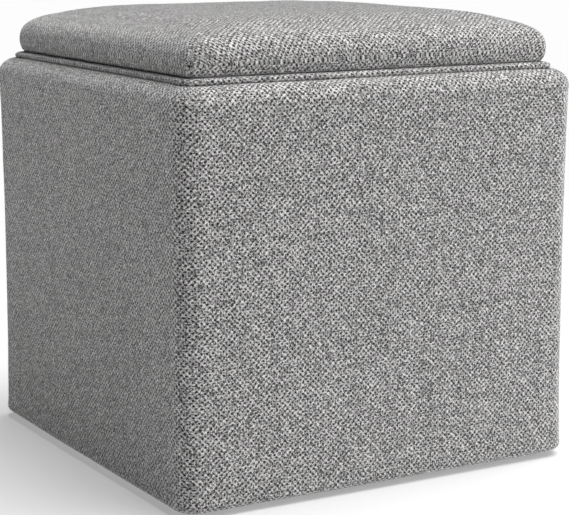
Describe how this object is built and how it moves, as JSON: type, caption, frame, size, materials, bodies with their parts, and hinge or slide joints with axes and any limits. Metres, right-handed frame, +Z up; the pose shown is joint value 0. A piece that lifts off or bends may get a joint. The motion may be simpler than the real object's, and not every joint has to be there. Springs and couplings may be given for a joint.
{
  "type": "storage ottoman",
  "caption": "Upholstered cube storage ottoman with a crowned, piped, lift-off cushion lid over a lined box on low glides.",
  "frame": {"origin": "on the floor, at the middle of the square footprint", "axes": "+Z up, the way the lid lifts off; -Y is the front; +X is to the right of someone facing the front"},
  "size_m": [0.44, 0.44, 0.45],
  "materials": {
    "upholstery": "matte",
    "lining": "matte",
    "dust_cover": "matte",
    "foam": "matte",
    "wadding": "matte",
    "piping_cord": "matte",
    "board": "matte",
    "softwood": "matte",
    "tray_wood": "satin",
    "glide_plastic": "satin",
    "zinc_steel": "satin",
    "staple_steel": "satin"
  },
  "bodies": {
    "box": {"front_panel": "board", "right_panel": "board", "rear_panel": "board", "left_panel": "board", "base_panel": "board", "base_cleat_front": "softwood", "base_cleat_right": "softwood", "base_cleat_rear": "softwood", "base_cleat_left": "softwood", "corner_block_front_left": "softwood", "corner_block_front_right": "softwood", "corner_block_rear_right": "softwood", "corner_block_rear_left": "softwood", "front_foam": "foam", "right_foam": "foam", "rear_foam": "foam", "left_foam": "foam", "rim_foam_front": "foam", "rim_foam_right": "foam", "rim_foam_rear": "foam", "rim_foam_left": "foam", "outer_cover": "upholstery", "wall_lining": "lining", "floor_lining": "lining", "dust_cover": "dust_cover", "glide_front_left": "glide_plastic", "glide_front_right": "glide_plastic", "glide_rear_right": "glide_plastic", "glide_rear_left": "glide_plastic", "panel_screws": "zinc_steel", "cleat_screws": "zinc_steel", "base_screws": "zinc_steel", "glide_screws": "zinc_steel", "dust_cover_staples": "staple_steel", "rim_staples": "staple_steel"},
    "lid": {"lid_cover": "upholstery", "lid_wadding": "wadding", "lid_foam": "foam", "lid_board": "board", "welt_cord": "piping_cord", "welt_sleeve": "upholstery", "tray_panel": "tray_wood", "tray_batten_front": "tray_wood", "tray_batten_right": "tray_wood", "tray_batten_rear": "tray_wood", "tray_batten_left": "tray_wood", "batten_screws": "zinc_steel", "lid_staples": "staple_steel"}
  },
  "joints": [
    {"name": "lid_lift", "type": "slide", "parent": "box", "child": "lid", "axis": [0, 0, 1], "range_m": [0, 0.4]}
  ]
}
